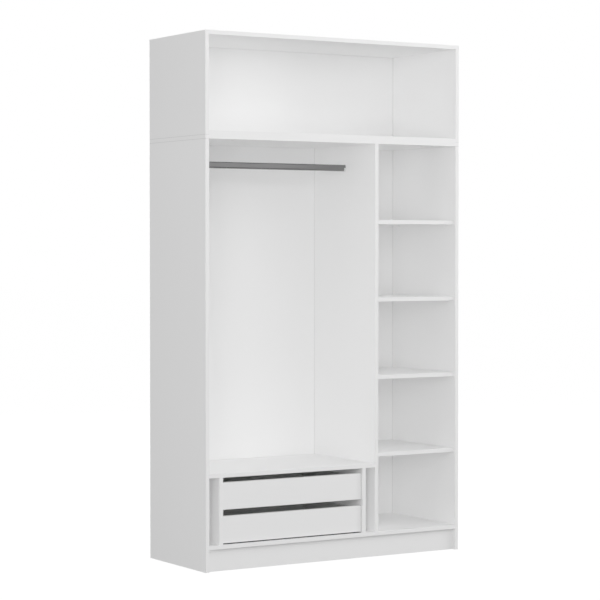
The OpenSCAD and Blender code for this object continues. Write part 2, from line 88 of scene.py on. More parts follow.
class Tree:
    """A material's node tree, with short ways to add and join nodes."""

    def __init__(self, name):
        self.material = bpy.data.materials.new(name)
        self.material.use_nodes = True
        self.nodes = self.material.node_tree.nodes
        self.links = self.material.node_tree.links
        self.shader = self.nodes["Principled BSDF"]
        self.coords = self.nodes.new("ShaderNodeTexCoord").outputs["Object"]

    def add(self, kind, inputs=(), **settings):
        """A new node. inputs is a dict or list of socket values or sockets to link from."""
        node = self.nodes.new(kind)
        for name, value in settings.items():
            setattr(node, name, value)
        pairs = inputs.items() if isinstance(inputs, dict) else enumerate(inputs)
        for key, value in pairs:
            if isinstance(value, bpy.types.NodeSocket):
                self.links.new(value, node.inputs[key])
            else:
                node.inputs[key].default_value = value
        return node

    def math(self, operation, *values):
        return self.add("ShaderNodeMath", values, operation=operation).outputs[0]

    def scaled(self, factors):
        """Object coordinates, stretched by a factor on each axis."""
        inputs = [self.coords, factors]
        return self.add("ShaderNodeVectorMath", inputs, operation="MULTIPLY").outputs[0]

    def noise(self, scale, detail=2.0, roughness=0.5, vector=None):
        inputs = {"Vector": vector or self.coords, "Scale": scale, "Detail": detail,
                  "Roughness": roughness}
        return self.add("ShaderNodeTexNoise", inputs).outputs["Fac"]

    def cells(self, scale, feature="F1"):
        inputs = {"Vector": self.coords, "Scale": scale}
        return self.add("ShaderNodeTexVoronoi", inputs, feature=feature).outputs["Distance"]

    def map(self, value, low, high, to_low, to_high):
        inputs = {"Value": value, 1: low, 2: high, 3: to_low, 4: to_high}
        return self.add("ShaderNodeMapRange", inputs, clamp=True).outputs[0]

    def mix(self, factor, a, b):
        node = self.add("ShaderNodeMix", data_type="RGBA")
        for socket, value in ((node.inputs[0], factor), (node.inputs[6], a), (node.inputs[7], b)):
            if isinstance(value, bpy.types.NodeSocket):
                self.links.new(value, socket)
            else:
                socket.default_value = value
        return node.outputs[2]

    def ramp(self, value, stops):
        node = self.add("ShaderNodeValToRGB", [value])
        elements = node.color_ramp.elements
        while len(elements) < len(stops):
            elements.new(0.5)
        for element, (place, colour) in zip(elements, stops):
            element.position = place
            element.color = colour
        return node.outputs["Color"]

    def axis(self, socket, name):
        return self.add("ShaderNodeSeparateXYZ", [socket]).outputs[name]

    def facing(self, name, least=0.7):
        """1 where the surface's own normal points along an axis such as +Y, else 0."""
        normal = self.add("ShaderNodeTexCoord").outputs["Normal"]
        part = self.axis(normal, name[1])
        if name[0] == "-":
            part = self.math("MULTIPLY", part, -1.0)
        return self.math("GREATER_THAN", part, least)

    def bump(self, heights):
        """Joins (height, strength, depth in metres) bumps, one over the other."""
        normal = None
        for height, strength, depth in heights:
            inputs = {"Height": height, "Strength": strength, "Distance": depth}
            if normal:
                inputs["Normal"] = normal
            normal = self.add("ShaderNodeBump", inputs).outputs[0]
        self.links.new(normal, self.shader.inputs["Normal"])

    def set(self, **values):
        """Sets or links the shader's sockets: Base_Color=..., Roughness=..."""
        for name, value in values.items():
            socket = self.shader.inputs[name.replace("_", " ")]
            if isinstance(value, bpy.types.NodeSocket):
                self.links.new(value, socket)
            else:
                socket.default_value = value
        return self.material


def grey(value, tint=0.0):
    """A neutral colour, a little warmer where tint is above 0."""
    return (value * (1 + tint), value, value * (1 - tint), 1.0)


# How light the boards are: faces, drawer boxes, edge bands, and drawer fronts and plinth;
# the drawer boxes are darkened as painted shade for the dark inside of the drawers
WHITE = 0.92
SHADED_BOX_WHITE = 0.42
BAND_WHITE = 0.845
FRONT_WHITE = 0.91

# ---- Materials --------------------------------------------------------------------

# Thickness of an edge band, and of the line of glue behind it
BAND = 0.8 * MM
GLUE = 0.15 * MM
GLUE_SHADE = 0.75
# Depth of the painted shade in the corner by the back sheets, and half the width of the painted
# shade line along a joint on the outer sides
BACK_CORNER_SHADE_DEPTH = 3.0 * MM
JOINT_SHADE_HALF_WIDTH = 0.8 * MM
# How dark that painted shade is, as a share of the board's white
PAINTED_SHADE_TONE = 0.68
# How near a plane a point has to be to count as on it: the boards' rear, and the sides' inside
REAR_SKIN = 0.3 * MM
INNER_SKIN = 0.5 * MM
JOINT_HEIGHTS = [corner.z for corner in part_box("lower_top_board")]
INNER_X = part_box("lower_right_side")[0].x


def chipboard(t):
    """The colour of a raw, sawn chipboard edge: pale and dark chips in glue."""
    chips = t.cells(420.0)
    grain = t.noise(900.0, 4.0, 0.7)
    tone = t.math("ADD", t.math("MULTIPLY", chips, 0.9), t.math("MULTIPLY", grain, 0.6))
    stops = [
        (0.25, (0.16, 0.10, 0.055, 1)),
        (0.50, (0.38, 0.27, 0.16, 1)),
        (0.70, (0.55, 0.43, 0.28, 1)),
        (0.95, (0.68, 0.57, 0.40, 1)),
    ]
    return t.ramp(tone, stops)


def melamine(name, front_y, of_carcass=False, white=WHITE):
    """White melamine-faced board with an edge band on its front edge, at front_y.

    A carcass board also has a raw rear edge, painted shade in the corner by the back sheets, and
    painted shade lines along the joints over and under the lower unit's top board on its outer
    side.
    """
    t = Tree(name)
    clouds = t.noise(2.3, 3.0, 0.55)
    colour = t.mix(clouds, grey(white * 0.99), grey(white * 1.01))
    y = t.axis(t.coords, "Y")
    behind_front = t.math("SUBTRACT", y, front_y)
    on_band = t.math("LESS_THAN", behind_front, BAND)
    past_glue = t.math("GREATER_THAN", behind_front, BAND + GLUE)
    on_glue = t.math("SUBTRACT", t.math("SUBTRACT", 1.0, on_band), past_glue)
    colour = t.mix(on_band, colour, grey(white * BAND_WHITE / WHITE))
    colour = t.mix(on_glue, colour, grey(white * GLUE_SHADE, 0.02))
    if of_carcass:
        x = t.math("ABSOLUTE", t.axis(t.coords, "X"))
        inside = t.math("LESS_THAN", x, INNER_X + INNER_SKIN)
        outside = t.math("SUBTRACT", 1.0, inside)
        # Painted shade: darker in the corner where the back sheets meet the boards, and along the
        # joints on the outer sides
        by_back = t.math("GREATER_THAN", y, BOARD_REAR_Y - BACK_CORNER_SHADE_DEPTH)
        painted_shade = t.math("MULTIPLY", by_back, inside)
        z = t.axis(t.coords, "Z")
        for height in JOINT_HEIGHTS:
            off = t.math("ABSOLUTE", t.math("SUBTRACT", z, height))
            joint_shade = t.math("MULTIPLY", t.math("LESS_THAN", off, JOINT_SHADE_HALF_WIDTH), outside)
            painted_shade = t.math("MAXIMUM", painted_shade, joint_shade)
        colour = t.mix(painted_shade, colour, grey(white * PAINTED_SHADE_TONE))
        at_rear = t.math("GREATER_THAN", y, BOARD_REAR_Y - REAR_SKIN)
        colour = t.mix(t.math("MULTIPLY", at_rear, t.facing("+Y")), colour, chipboard(t))
    peel = t.noise(750.0, 2.0, 0.45)
    pearl = t.noise(2600.0, 1.0, 0.5)
    smear = t.noise(9.0, 3.0, 0.6)
    t.bump([(peel, 0.22, 0.06 * MM), (pearl, 0.10, 0.02 * MM)])
    satin = t.map(smear, 0.3, 0.7, 0.36, 0.44)
    rough = t.math("SUBTRACT", satin, t.math("MULTIPLY", on_band, 0.07))
    return t.set(Base_Color=colour, Roughness=rough)


# The colour of sawn fibreboard, made darker as painted shade of the gaps between the back sheets
SAWN_EDGE_WITH_GAP_SHADE = (0.075, 0.045, 0.024, 1.0)


def hardboard(name, raw_side, white=WHITE):
    """Thin lacquered fibreboard, raw brown on the side named, if any, and dark at its edges,
    partly as sawn fibre and partly as painted shade of the gaps between the sheets.
    """
    t = Tree(name)
    clouds = t.noise(3.1, 3.0, 0.6)
    lacquer = t.mix(clouds, grey(white * 0.985), grey(white * 1.01))
    fibres = t.noise(70.0, 6.0, 0.75, t.scaled((1.0, 1.0, 0.35)))
    specks = t.noise(1100.0, 2.0, 0.6)
    tone = t.math("ADD", t.math("MULTIPLY", fibres, 0.65), t.math("MULTIPLY", specks, 0.35))
    stops = [
        (0.35, (0.20, 0.115, 0.055, 1)),
        (0.52, (0.31, 0.19, 0.098, 1)),
        (0.68, (0.42, 0.275, 0.15, 1)),
    ]
    raw = t.ramp(tone, stops)
    is_raw = t.facing(raw_side, least=-0.5) if raw_side else 0.0
    colour = t.mix(is_raw, lacquer, raw)
    if raw_side:
        # Painted shade: the sheets' edges are darkened for the gaps between them, over the brown of
        # sawn fibre
        edge_with_gap_shade = t.math("SUBTRACT", is_raw, t.facing(raw_side, least=0.8))
        colour = t.mix(edge_with_gap_shade, colour, SAWN_EDGE_WITH_GAP_SHADE)
    screen = t.noise(620.0, 2.0, 0.5)
    weave = t.noise(240.0, 5.0, 0.8)
    t.bump([(screen, 0.25, 0.05 * MM), (t.math("MULTIPLY", weave, is_raw), 0.5, 0.12 * MM)])
    rough = t.math("ADD", t.map(clouds, 0.3, 0.7, 0.40, 0.47), t.math("MULTIPLY", is_raw, 0.35))
    return t.set(Base_Color=colour, Roughness=rough)


def drawn_metal(name, value, along, rough=0.32, tint=0.0):
    """Metal with fine lines along the direction it was drawn or rolled in."""
    t = Tree(name)
    squeeze = {"X": (0.02, 1.0, 1.0), "Y": (1.0, 0.02, 1.0)}[along]
    lines = t.noise(2200.0, 3.0, 0.7, t.scaled(squeeze))
    clouds = t.noise(35.0, 4.0, 0.6, t.scaled(squeeze))
    colour = t.mix(clouds, grey(value * 0.88, tint), grey(value * 1.08, tint))
    colour = t.mix(t.math("MULTIPLY", lines, 0.25), colour, grey(value * 0.8, tint))
    t.bump([(lines, 0.12, 0.02 * MM)])
    roughness = t.map(lines, 0.3, 0.7, rough - 0.06, rough + 0.08)
    return t.set(Base_Color=colour, Roughness=roughness, Metallic=1.0)


def plated_metal(name, value, rough=0.28, tint=0.0, grain=420.0):
    """Small zinc-plated or cast pieces: a mottled, slightly uneven skin."""
    t = Tree(name)
    mottle = t.noise(grain, 4.0, 0.65)
    pits = t.cells(grain * 2.5)
    colour = t.mix(mottle, grey(value * 0.82, tint), grey(value * 1.1, tint))
    t.bump([(mottle, 0.25, 0.05 * MM), (pits, 0.15, 0.03 * MM)])
    roughness = t.map(mottle, 0.3, 0.7, rough - 0.06, rough + 0.12)
    return t.set(Base_Color=colour, Roughness=roughness, Metallic=1.0)


def painted_zinc(name):
    """White-painted die casting, with the soft orange peel of powder paint."""
    t = Tree(name)
    peel = t.noise(1300.0, 2.0, 0.5)
    wear = t.noise(160.0, 4.0, 0.7)
    colour = t.mix(wear, grey(0.70), grey(0.75))
    t.bump([(peel, 0.3, 0.05 * MM)])
    return t.set(Base_Color=colour, Roughness=t.map(wear, 0.3, 0.7, 0.30, 0.42))


def beech(name):
    """Raw beech dowel: pale brown with short dark flecks along the grain."""
    t = Tree(name)
    grain = t.noise(600.0, 4.0, 0.7, t.scaled((0.06, 1.0, 1.0)))
    stops = [
        (0.35, (0.36, 0.22, 0.12, 1)),
        (0.60, (0.60, 0.42, 0.26, 1)),
        (0.80, (0.68, 0.50, 0.33, 1)),
    ]
    t.bump([(grain, 0.3, 0.05 * MM)])
    return t.set(Base_Color=t.ramp(grain, stops), Roughness=t.map(grain, 0.3, 0.7, 0.55, 0.7))


def nylon(name, value):
    """Moulded nylon, with the fine grain of its mould."""
    t = Tree(name)
    grain = t.noise(1500.0, 3.0, 0.6)
    t.bump([(grain, 0.3, 0.04 * MM)])
    colour = t.mix(grain, grey(value * 0.9), grey(value * 1.08))
    return t.set(Base_Color=colour, Roughness=t.map(grain, 0.3, 0.7, 0.42, 0.55))


# Used only for the black strips in the drawer gaps, which stand in for shade there (painted shade)
def felt(name):
    """Black needle felt: matt, with short crossing fibres."""
    t = Tree(name)
    fibres = t.noise(1400.0, 5.0, 0.8)
    lumps = t.noise(260.0, 3.0, 0.6)
    t.bump([(lumps, 0.5, 0.15 * MM), (fibres, 0.7, 0.1 * MM)])
    colour = t.mix(fibres, grey(0.008), grey(0.03))
    return t.set(Base_Color=colour, Roughness=t.map(fibres, 0, 1, 0.85, 1))


def pale_floor(name):
    """A plain matt floor, nearly white."""
    t = Tree(name)
    clouds = t.noise(0.8, 2.0, 0.5)
    colour = t.mix(clouds, grey(0.05), grey(0.06))
    t.set(Emission_Color=(1, 1, 1, 1), Emission_Strength=FLOOR_GLOW)
    return t.set(Base_Color=colour, Roughness=0.9, Specular_IOR_Level=0.0)


def front_of(node):
    """The Y of a CAD node's front."""
    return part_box(node)[0].y


MATERIALS = {
    "carcass": melamine("melamine_carcass", FRONT_Y, of_carcass=True),
    "shelf": melamine("melamine_shelf", front_of("shelf_1")),
    "plinth": melamine("melamine_plinth", front_of("front_plinth"), white=FRONT_WHITE),
    "drawer_front": melamine(
        "melamine_drawer_front", front_of("lower_drawer_front"), white=FRONT_WHITE
    ),
    # Painted shade: the drawer boxes and bottoms are darkened for the shade inside the drawers
    "drawer_box": melamine("melamine_box_painted_shade", front_of("lower_drawer_left_side"), white=SHADED_BOX_WHITE),
    "back": hardboard("hardboard_back", "+Y"),
    "drawer_bottom": hardboard("hardboard_bottom_painted_shade", None, white=SHADED_BOX_WHITE),
    "rail": drawn_metal("satin_steel_rail", 0.15, "X", 0.36),
    "runner": drawn_metal("zinc_plated_runner", 0.55, "Y", 0.30),
    "cam": plated_metal("cast_zinc_cam", 0.42, 0.34, 0.01, 500.0),
    "plated": plated_metal("zinc_plated_steel", 0.60, 0.24, 0.015),
    "ball": plated_metal("polished_steel_ball", 0.70, 0.14, 0.0, 900.0),
    "painted": painted_zinc("painted_zinc"),
    "beech": beech("raw_beech"),
    "black_nylon": nylon("black_nylon", 0.026),
    "felt": felt("black_shade_felt"),
    "white_nylon": nylon("white_nylon", 0.85),
    "floor": pale_floor("pale_floor"),
}


def finish_of(node):
    """The key in MATERIALS of a CAD node."""
    if node.startswith("shelf_") and node != "shelf_pins":
        return "shelf"
    if "plinth" in node:
        return "plinth"
    if node.endswith("drawer_front"):
        return "drawer_front"
    if node.endswith("drawer_bottom"):
        return "drawer_bottom"
    if node.endswith(("drawer_left_side", "drawer_right_side", "drawer_back")):
        return "drawer_box"
    if node.endswith("_back"):
        return "back"
    if node == "hanging_rail":
        return "rail"
    if node.endswith("rail_socket"):
        return "painted"
    if "_runner_" in node:
        return "runner"
    if node.endswith("cam_locks"):
        return "cam"
    if node == "dowels":
        return "beech"
    if node == "shelf_pins":
        return "white_nylon"
    if node.endswith(("screws", "bolts", "nails", "pins", "connectors")):
        return "plated"
    return "carcass"


# How far each finish's sharp edges are rounded; the others stay as they are in the CAD
BEVELS = {
    "carcass": 0.5 * MM,
    "shelf": 0.5 * MM,
    "plinth": 0.5 * MM,
    "drawer_front": 0.5 * MM,
    "drawer_box": 0.4 * MM,
    "back": 0.2 * MM,
    "drawer_bottom": 0.2 * MM,
    "runner": 0.25 * MM,
    "painted": 0.35 * MM,
}
# Points this close count as one, and faces that meet at less than this angle as one face
WELD = 0.01 * MM
FLAT_ANGLE = 1.0
# Edges sharper than the first angle are rounded; those under the second are shaded smooth
SHARP_ANGLE = 60.0
SMOOTH_ANGLE = 35.0


def soften(obj, width):
    """Rounds a CAD node's sharp edges with modifiers, which leave its mesh as it is."""
    weld = obj.modifiers.new("weld", "WELD")
    weld.merge_threshold = WELD
    flat = obj.modifiers.new("flat", "DECIMATE")
    flat.decimate_type = "DISSOLVE"
    flat.angle_limit = math.radians(FLAT_ANGLE)
    bevel = obj.modifiers.new("bevel", "BEVEL")
    bevel.width = width
    bevel.segments = 2
    bevel.limit_method = "ANGLE"
    bevel.angle_limit = math.radians(SHARP_ANGLE)
    bevel.use_clamp_overlap = False
    shade = obj.modifiers.new("shade", "WEIGHTED_NORMAL")
    shade.weight = 100
    shade.keep_sharp = False


# ---- Shapes ----------------------------------------------------------------------------


def ring(form, radius, z, steps):
    """A circle of points round Z."""
    turn = 2 * math.pi / steps
    points = [(radius * math.cos(i * turn), radius * math.sin(i * turn), z) for i in range(steps)]
    return [form.verts.new(p) for p in points]


def skin(form, a, b):
    """Quads between two loops with as many points, b lying on the outward side of a."""
    n = len(a)
    for i in range(n):
        j = (i + 1) % n
        form.faces.new((a[i], a[j], b[j], b[i]))


def edges_of(form, loop):
    """The edges that close a loop of points."""
    found = []
    for a, b in zip(loop, loop[1:] + loop[:1]):
        found.append(form.edges.get((a, b)) or form.edges.new((a, b)))
    return found


def lathe(form, profile, steps=32):
    """A closed skin round Z through (radius, height) points from the bottom up; its top is open."""
    rings = [ring(form, radius, z, steps) for radius, z in profile]
    form.faces.new(rings[0][::-1])
    for a, b in zip(rings, rings[1:]):
        skin(form, a, b)
    return rings[-1]


def cross(half, width):
    """The outline of a cross-head recess."""
    w = width / 2
    arm = [(half, -w), (half, w), (w, w)]
    turned = []
    for c, s in ((1, 0), (0, 1), (-1, 0), (0, -1)):
        turned += [(x * c - y * s, x * s + y * c) for x, y in arm]
    return turned


def hexagon(radius):
    """The outline of a hexagon recess."""
    sixth = math.pi / 3
    return [(radius * math.cos(i * sixth), radius * math.sin(i * sixth)) for i in range(6)]


# A recess's floor is this much smaller than its mouth
RECESS_TAPER = 0.86


def socket_in(form, rim, outline, depth):
    """Fills the flat top inside rim, leaving a recess of that outline and depth in it."""
    z = rim[0].co.z
    mouth = [form.verts.new((x, y, z)) for x, y in outline]
    small = [(x * RECESS_TAPER, y * RECESS_TAPER) for x, y in outline]
    floor = [form.verts.new((x, y, z - depth)) for x, y in small]
    edges = edges_of(form, rim) + edges_of(form, mouth)
    bmesh.ops.triangle_fill(form, use_beauty=True, edges=edges, normal=(0, 0, 1))
    skin(form, mouth, floor)
    form.faces.new(floor)


def prism(form, outline, low, high):
    """An outline in XY, closed between two heights."""
    bottom = [form.verts.new((x, y, low)) for x, y in outline]
    top = [form.verts.new((x, y, high)) for x, y in outline]
    form.faces.new(bottom[::-1])
    form.faces.new(top)
    skin(form, bottom, top)


def thread(core, outer, start, end, pitch):
    """A lathe profile of thread ridges from start up to end."""
    profile = []
    z = start
    while z < end - pitch:
        profile += [(core, z), (core, z + 0.45 * pitch), (outer, z + 0.7 * pitch)]
        z += pitch
    return profile


def add_copy(form, build, place, finish=0):
    """Builds a shape in a form of its own and adds it at a place, in one of the finishes."""
    part = bmesh.new()
    build(part)
    part.transform(place)
    bmesh.ops.recalc_face_normals(part, faces=part.faces)
    for face in part.faces:
        face.material_index = finish
    mesh = bpy.data.meshes.new("part")
    part.to_mesh(mesh)
    part.free()
    form.from_mesh(mesh)
    bpy.data.meshes.remove(mesh)


def new_piece(name, form, finishes, body):
    """Turns a form into a named piece that rides on a body."""
    mesh = bpy.data.meshes.new(name)
    form.to_mesh(mesh)
    form.free()
    for finish in finishes:
        mesh.materials.append(MATERIALS[finish])
    mesh.shade_smooth()
    mesh.set_sharp_from_angle(angle=math.radians(SMOOTH_ANGLE))
    piece = bpy.data.objects.new(name, mesh)
    bpy.context.scene.collection.objects.link(piece)
    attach(piece, body)
    return piece


# ---- Fasteners, each read off its CAD node -----------------------------------------------

CAM_RADIUS = 7.5 * MM
CAM_BORE = 5.3 * MM
CAM_DEPTH = 12.5 * MM
CAM_LID = 3.6 * MM
# Half the angle that a cam's collar is open by, and the steps round the rest
CAM_MOUTH = math.radians(36)
CAM_STEPS = 28
# The CAD cam's drive ends above this depth, and its bolt's bore lies within this radius
DRIVE_DEPTH = 2.5 * MM
BORE_REACH = 7.3 * MM
CONNECTOR_SHANK = 4.0 * MM
CONNECTOR_HEAD = 6.0 * MM
CONNECTOR_STEPS = 36
# How far two shapes of one piece run into each other
OVERLAP = 0.1 * MM
# Points of a CAD node this close are one, and a point this close to a head's plane is on it
SAME_POINT = 0.001 * MM
ON_END = 0.02 * MM


def solids_of(node):
    """The separate solids in a CAD node, each as a list of its points."""
    form = bmesh.new()
    form.from_mesh(NODES[node].data)
    bmesh.ops.remove_doubles(form, verts=form.verts, dist=SAME_POINT)
    seen = set()
    solids = []
    for first in form.verts:
        if first in seen:
            continue
        seen.add(first)
        todo = [first]
        solid = []
        while todo:
            point = todo.pop()
            solid.append(point.co.copy())
            for edge in point.link_edges:
                other = edge.other_vert(point)
                if other not in seen:
                    seen.add(other)
                    todo.append(other)
        solids.append(solid)
    form.free()
    return solids


def box_of(points):
    """The lowest and highest corners of the box round some points."""
    low = Vector([min(p[k] for p in points) for k in range(3)])
    high = Vector([max(p[k] for p in points) for k in range(3)])
    return low, high


def off_axis(point, middle, k):
    """A point's offset from the line along axis k through middle."""
    away = point - middle
    away[k] = 0.0
    return away


def head_of(points, flat):
    """Where a fastener's head is, the way it faces, and the axis it lies on.

    A flat one is shorter than it is wide, and has its head where the drive's rim is.
    A long one has its head at its wider end.
    """
    low, high = box_of(points)
    size = high - low
    k = (min if flat else max)(range(3), key=lambda i: size[i])
    middle = (low + high) / 2
    reach = {}
    for sign, end in ((-1, low[k]), (1, high[k])):
        rim = [off_axis(p, middle, k).length for p in points if abs(p[k] - end) < ON_END]
        reach[sign] = -min(rim) if flat else max(rim)
    sign = max(reach, key=reach.get)
    head = middle.copy()
    head[k] = high[k] if sign > 0 else low[k]
    way = Vector((0, 0, 0))
    way[k] = sign
    return head, way, k


def bolt_way(points, head, way, k):
    """The way a cam's bolt leaves it, from where its bore ends inside the cam."""
    inner = Vector((0, 0, 0))
    for p in points:
        away = off_axis(p, head, k)
        deep = abs(p[k] - head[k])
        if deep > DRIVE_DEPTH and away.length < BORE_REACH:
            inner += away
    side = max((i for i in range(3) if i != k), key=lambda i: abs(inner[i]))
    out = Vector((0, 0, 0))
    out[side] = -1 if inner[side] > 0 else 1
    return out


def frame_at(head, way, out):
    """The place whose own Z is the way a head faces and whose X is out."""
    across = way.cross(out)
    turn = Matrix((out, across, way)).transposed().to_4x4()
    return Matrix.Translation(head) @ turn


def cam(form):
    """An eccentric cam: a lid with a stepped rim and a cross, over an open collar."""
    lid = [
        (CAM_RADIUS - 0.2 * MM, -CAM_LID),
        (CAM_RADIUS, -CAM_LID + 0.2 * MM),
        (CAM_RADIUS, -0.5 * MM),
        (CAM_RADIUS - 0.45 * MM, 0.0),
        (6.3 * MM, 0.0),
        (6.1 * MM, -0.35 * MM),
        (4.9 * MM, -0.35 * MM),
        (4.7 * MM, 0.0),
    ]
    rim = lathe(form, lid, 48)
    socket_in(form, rim, cross(3.4 * MM, 1.5 * MM), 2.2 * MM)
    turn = (2 * math.pi - 2 * CAM_MOUTH) / CAM_STEPS
    arc = [CAM_MOUTH + i * turn for i in range(CAM_STEPS + 1)]
    outer = [(CAM_RADIUS * math.cos(a), CAM_RADIUS * math.sin(a)) for a in arc]
    inner = [(CAM_BORE * math.cos(a), CAM_BORE * math.sin(a)) for a in arc[::-1]]
    prism(form, outer + inner, -CAM_DEPTH, -CAM_LID)


def pan_screw(form):
    """A low cross-head wood screw; its head's face is at 0."""
    tip = [(0.2 * MM, -14.9 * MM), (0.7 * MM, -14.0 * MM)]
    body = thread(core=1.15 * MM, outer=1.75 * MM, start=-13.6 * MM, end=-2.0 * MM, pitch=1.3 * MM)
    head = [
        (1.75 * MM, -1.9 * MM),
        (1.75 * MM, -0.9 * MM),
        (3.15 * MM, -0.9 * MM),
        (3.25 * MM, -0.7 * MM),
        (3.05 * MM, -0.3 * MM),
        (2.6 * MM, -0.08 * MM),
        (2.2 * MM, 0.0),
    ]
    rim = lathe(form, tip + body + head, 24)
    socket_in(form, rim, cross(1.7 * MM, 0.7 * MM), 0.6 * MM)


def confirmat(form):
    """A one-piece chipboard connector with a countersunk head and a hexagon socket."""
    tip = [(1.2 * MM, -50.0 * MM), (2.3 * MM, -48.0 * MM)]
    body = thread(core=2.1 * MM, outer=2.5 * MM, start=-47.5 * MM, end=-18.5 * MM, pitch=2.6 * MM)
    head = [
        (2.5 * MM, -18.0 * MM),
        (3.5 * MM, -17.4 * MM),
        (3.5 * MM, -1.5 * MM),
        (4.85 * MM, -0.15 * MM),
        (4.7 * MM, 0.0),
    ]
    rim = lathe(form, tip + body + head, 28)
    socket_in(form, rim, hexagon(2.3 * MM), 2.4 * MM)


def connector_head(form):
    """One head of the bolt and sleeve that join the two units."""
    head = [
        (CONNECTOR_SHANK, -CONNECTOR_HEAD),
        (CONNECTOR_SHANK, -1.5 * MM),
        (6.4 * MM, -1.5 * MM),
        (6.5 * MM, -1.2 * MM),
        (6.2 * MM, -0.45 * MM),
        (5.2 * MM, 0.0),
    ]
    rim = lathe(form, head, CONNECTOR_STEPS)
    socket_in(form, rim, cross(3.0 * MM, 1.2 * MM), 1.1 * MM)


def any_side(way):
    """A direction square to a head's."""
    return Vector((0, 1, 0)) if abs(way.y) < 0.5 else Vector((0, 0, 1))


def make_cams(node, body):
    """A cam in each place where the CAD node has one."""
    form = bmesh.new()
    for points in solids_of(node):
        head, way, k = head_of(points, flat=True)
        out = bolt_way(points, head, way, k)
        add_copy(form, cam, frame_at(head, way, out))
    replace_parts(new_piece(f"{node}_cast", form, ["cam"], body), node)


def make_screws(node, body, build):
    """A screw of the kind that build makes, in each place where the CAD node has one."""
    form = bmesh.new()
    for points in solids_of(node):
        head, way, _ = head_of(points, flat=False)
        add_copy(form, build, frame_at(head, way, any_side(way)))
    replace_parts(new_piece(f"{node}_cut", form, ["plated"], body), node)


def make_connectors(node, body):
    """A white-painted head at each end, and a shank between them."""
    form = bmesh.new()
    for points in solids_of(node):
        low, high = box_of(points)
        middle = (low + high) / 2
        for way, z in ((1, high.z), (-1, low.z)):
            end = Vector((middle.x, middle.y, z))
            add_copy(form, connector_head, frame_at(end, Vector((0, 0, way)), Vector((1, 0, 0))))

        def shank(part):
            inset = CONNECTOR_HEAD - OVERLAP
            ends = [(CONNECTOR_SHANK, low.z + inset), (CONNECTOR_SHANK, high.z - inset)]
            part.faces.new(lathe(part, ends, CONNECTOR_STEPS))

        add_copy(form, shank, Matrix.Translation((middle.x, middle.y, 0)))
    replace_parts(new_piece(f"{node}_cut", form, ["painted"], body), node)


# ---- Runner details: ball cages, release lever, stops ------------------------------------

CAGE_LENGTH = 200 * MM
CAGE_HALF_THICK = 0.3 * MM
CAGE_CORNER = 0.25 * MM
BALL_PITCH = 12 * MM
# The lever: where its root lies along the runner, its length, faces, and its boss
LEVER_ROOT = -22 * MM
LEVER_LENGTH = 62 * MM
LEVER_STEPS = 18
LEVER_NEAR = 8.5 * MM
LEVER_FAR = 10.3 * MM
BOSS_FROM_ROOT = 6 * MM
BOSS_RADIUS = 3.4 * MM
BOSS_TOP = 11.5 * MM
# The stops: their place up from the middle of the runner, and their size
STOP_RISE = 19.65 * MM
STOP_HALF_TALL = 1.45 * MM
STOP_LENGTH = 8 * MM
STOP_CORNER = 0.5 * MM
STOP_NEAR = 2.0 * MM
STOP_FAR = 9.5 * MM


def runner_place(node):
    """Local X runs along the runner to the rear, Y up, and Z from the upright it is screwed to."""
    low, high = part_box(node)
    on_left = "_left_" in node
    out = 1 if on_left else -1
    axes = Matrix(((0, 0, out), (1, 0, 0), (0, 1, 0))).to_4x4()
    return Matrix.Translation((low.x if on_left else high.x, 0, (low.z + high.z) / 2)) @ axes


def rounded_bar(start, end, middle, half, corner, steps=4):
    """The outline of a bar along X with rounded corners."""
    outline = []
    corners = ((end, half, 0), (start, half, 1), (start, -half, 2), (end, -half, 3))
    for x, y, quarter in corners:
        for k in range(steps + 1):
            turn = math.pi / 2 * (quarter + k / steps)
            inward_x = corner if x == start else -corner
            inward_y = -corner if y > 0 else corner
            px = x + inward_x + corner * math.cos(turn)
            py = middle + y + inward_y + corner * math.sin(turn)
            outline.append((px, py))
    return outline


def cage_strip(start, height, low, high):
    """One side of a ball cage: a thin strip that lies flat between two members."""

    def build(form):
        end = start + CAGE_LENGTH
        outline = rounded_bar(start, end, height, CAGE_HALF_THICK, CAGE_CORNER)
        prism(form, outline, low, high)

    return build


def ball_row(start, height, out, radius):
    """The balls in one side of a cage."""

    def build(form):
        place = start + BALL_PITCH / 2
        while place < start + CAGE_LENGTH:
            at = Matrix.Translation((place, height, out))
            bmesh.ops.create_uvsphere(form, u_segments=14, v_segments=8, radius=radius, matrix=at)
            place += BALL_PITCH

    return build


# start along the runner at rest, height of the row, its place out, ball radius, strip's edges
CAGE_ROWS = (
    (5 * MM, 19.65 * MM, 6.2 * MM, 1.55 * MM, 4.0 * MM, 8.4 * MM),
    (-225 * MM, 14.9 * MM, 8.0 * MM, 1.8 * MM, 5.6 * MM, 10.4 * MM),
)


def make_cages(drawer, hand):
    """The ball cages over and under each of a runner's two sliding members, as one piece."""
    place = runner_place(f"{drawer}_{hand}_runner_outer")
    form = bmesh.new()
    for start, height, out, radius, low, high in CAGE_ROWS:
        for side in (1, -1):
            add_copy(form, cage_strip(start, side * height, low, high), place)
            add_copy(form, ball_row(start, side * height, out, radius), place, finish=1)
    name = f"{drawer}_{hand}_runner_ball_cages"
    new_piece(name, form, ["runner", "ball"], f"{drawer}_runner_middles")


def lever(form):
    """The tongue that frees the drawer from its runner: it tapers and bends up to a finger tip."""
    upper = []
    lower = []
    for k in range(LEVER_STEPS + 1):
        part = k / LEVER_STEPS
        bow = 3.2 * MM * math.sin(math.pi * part) - 3.0 * MM * part * part
        tip = 1.3 * math.exp(-((part - 1) / 0.12) ** 2)
        half = (5.6 - 3.0 * part + tip) * MM
        x = part * LEVER_LENGTH
        upper.append((x, bow + half))
        lower.append((x, bow - half))
    prism(form, lower + upper[::-1], LEVER_NEAR, LEVER_FAR)


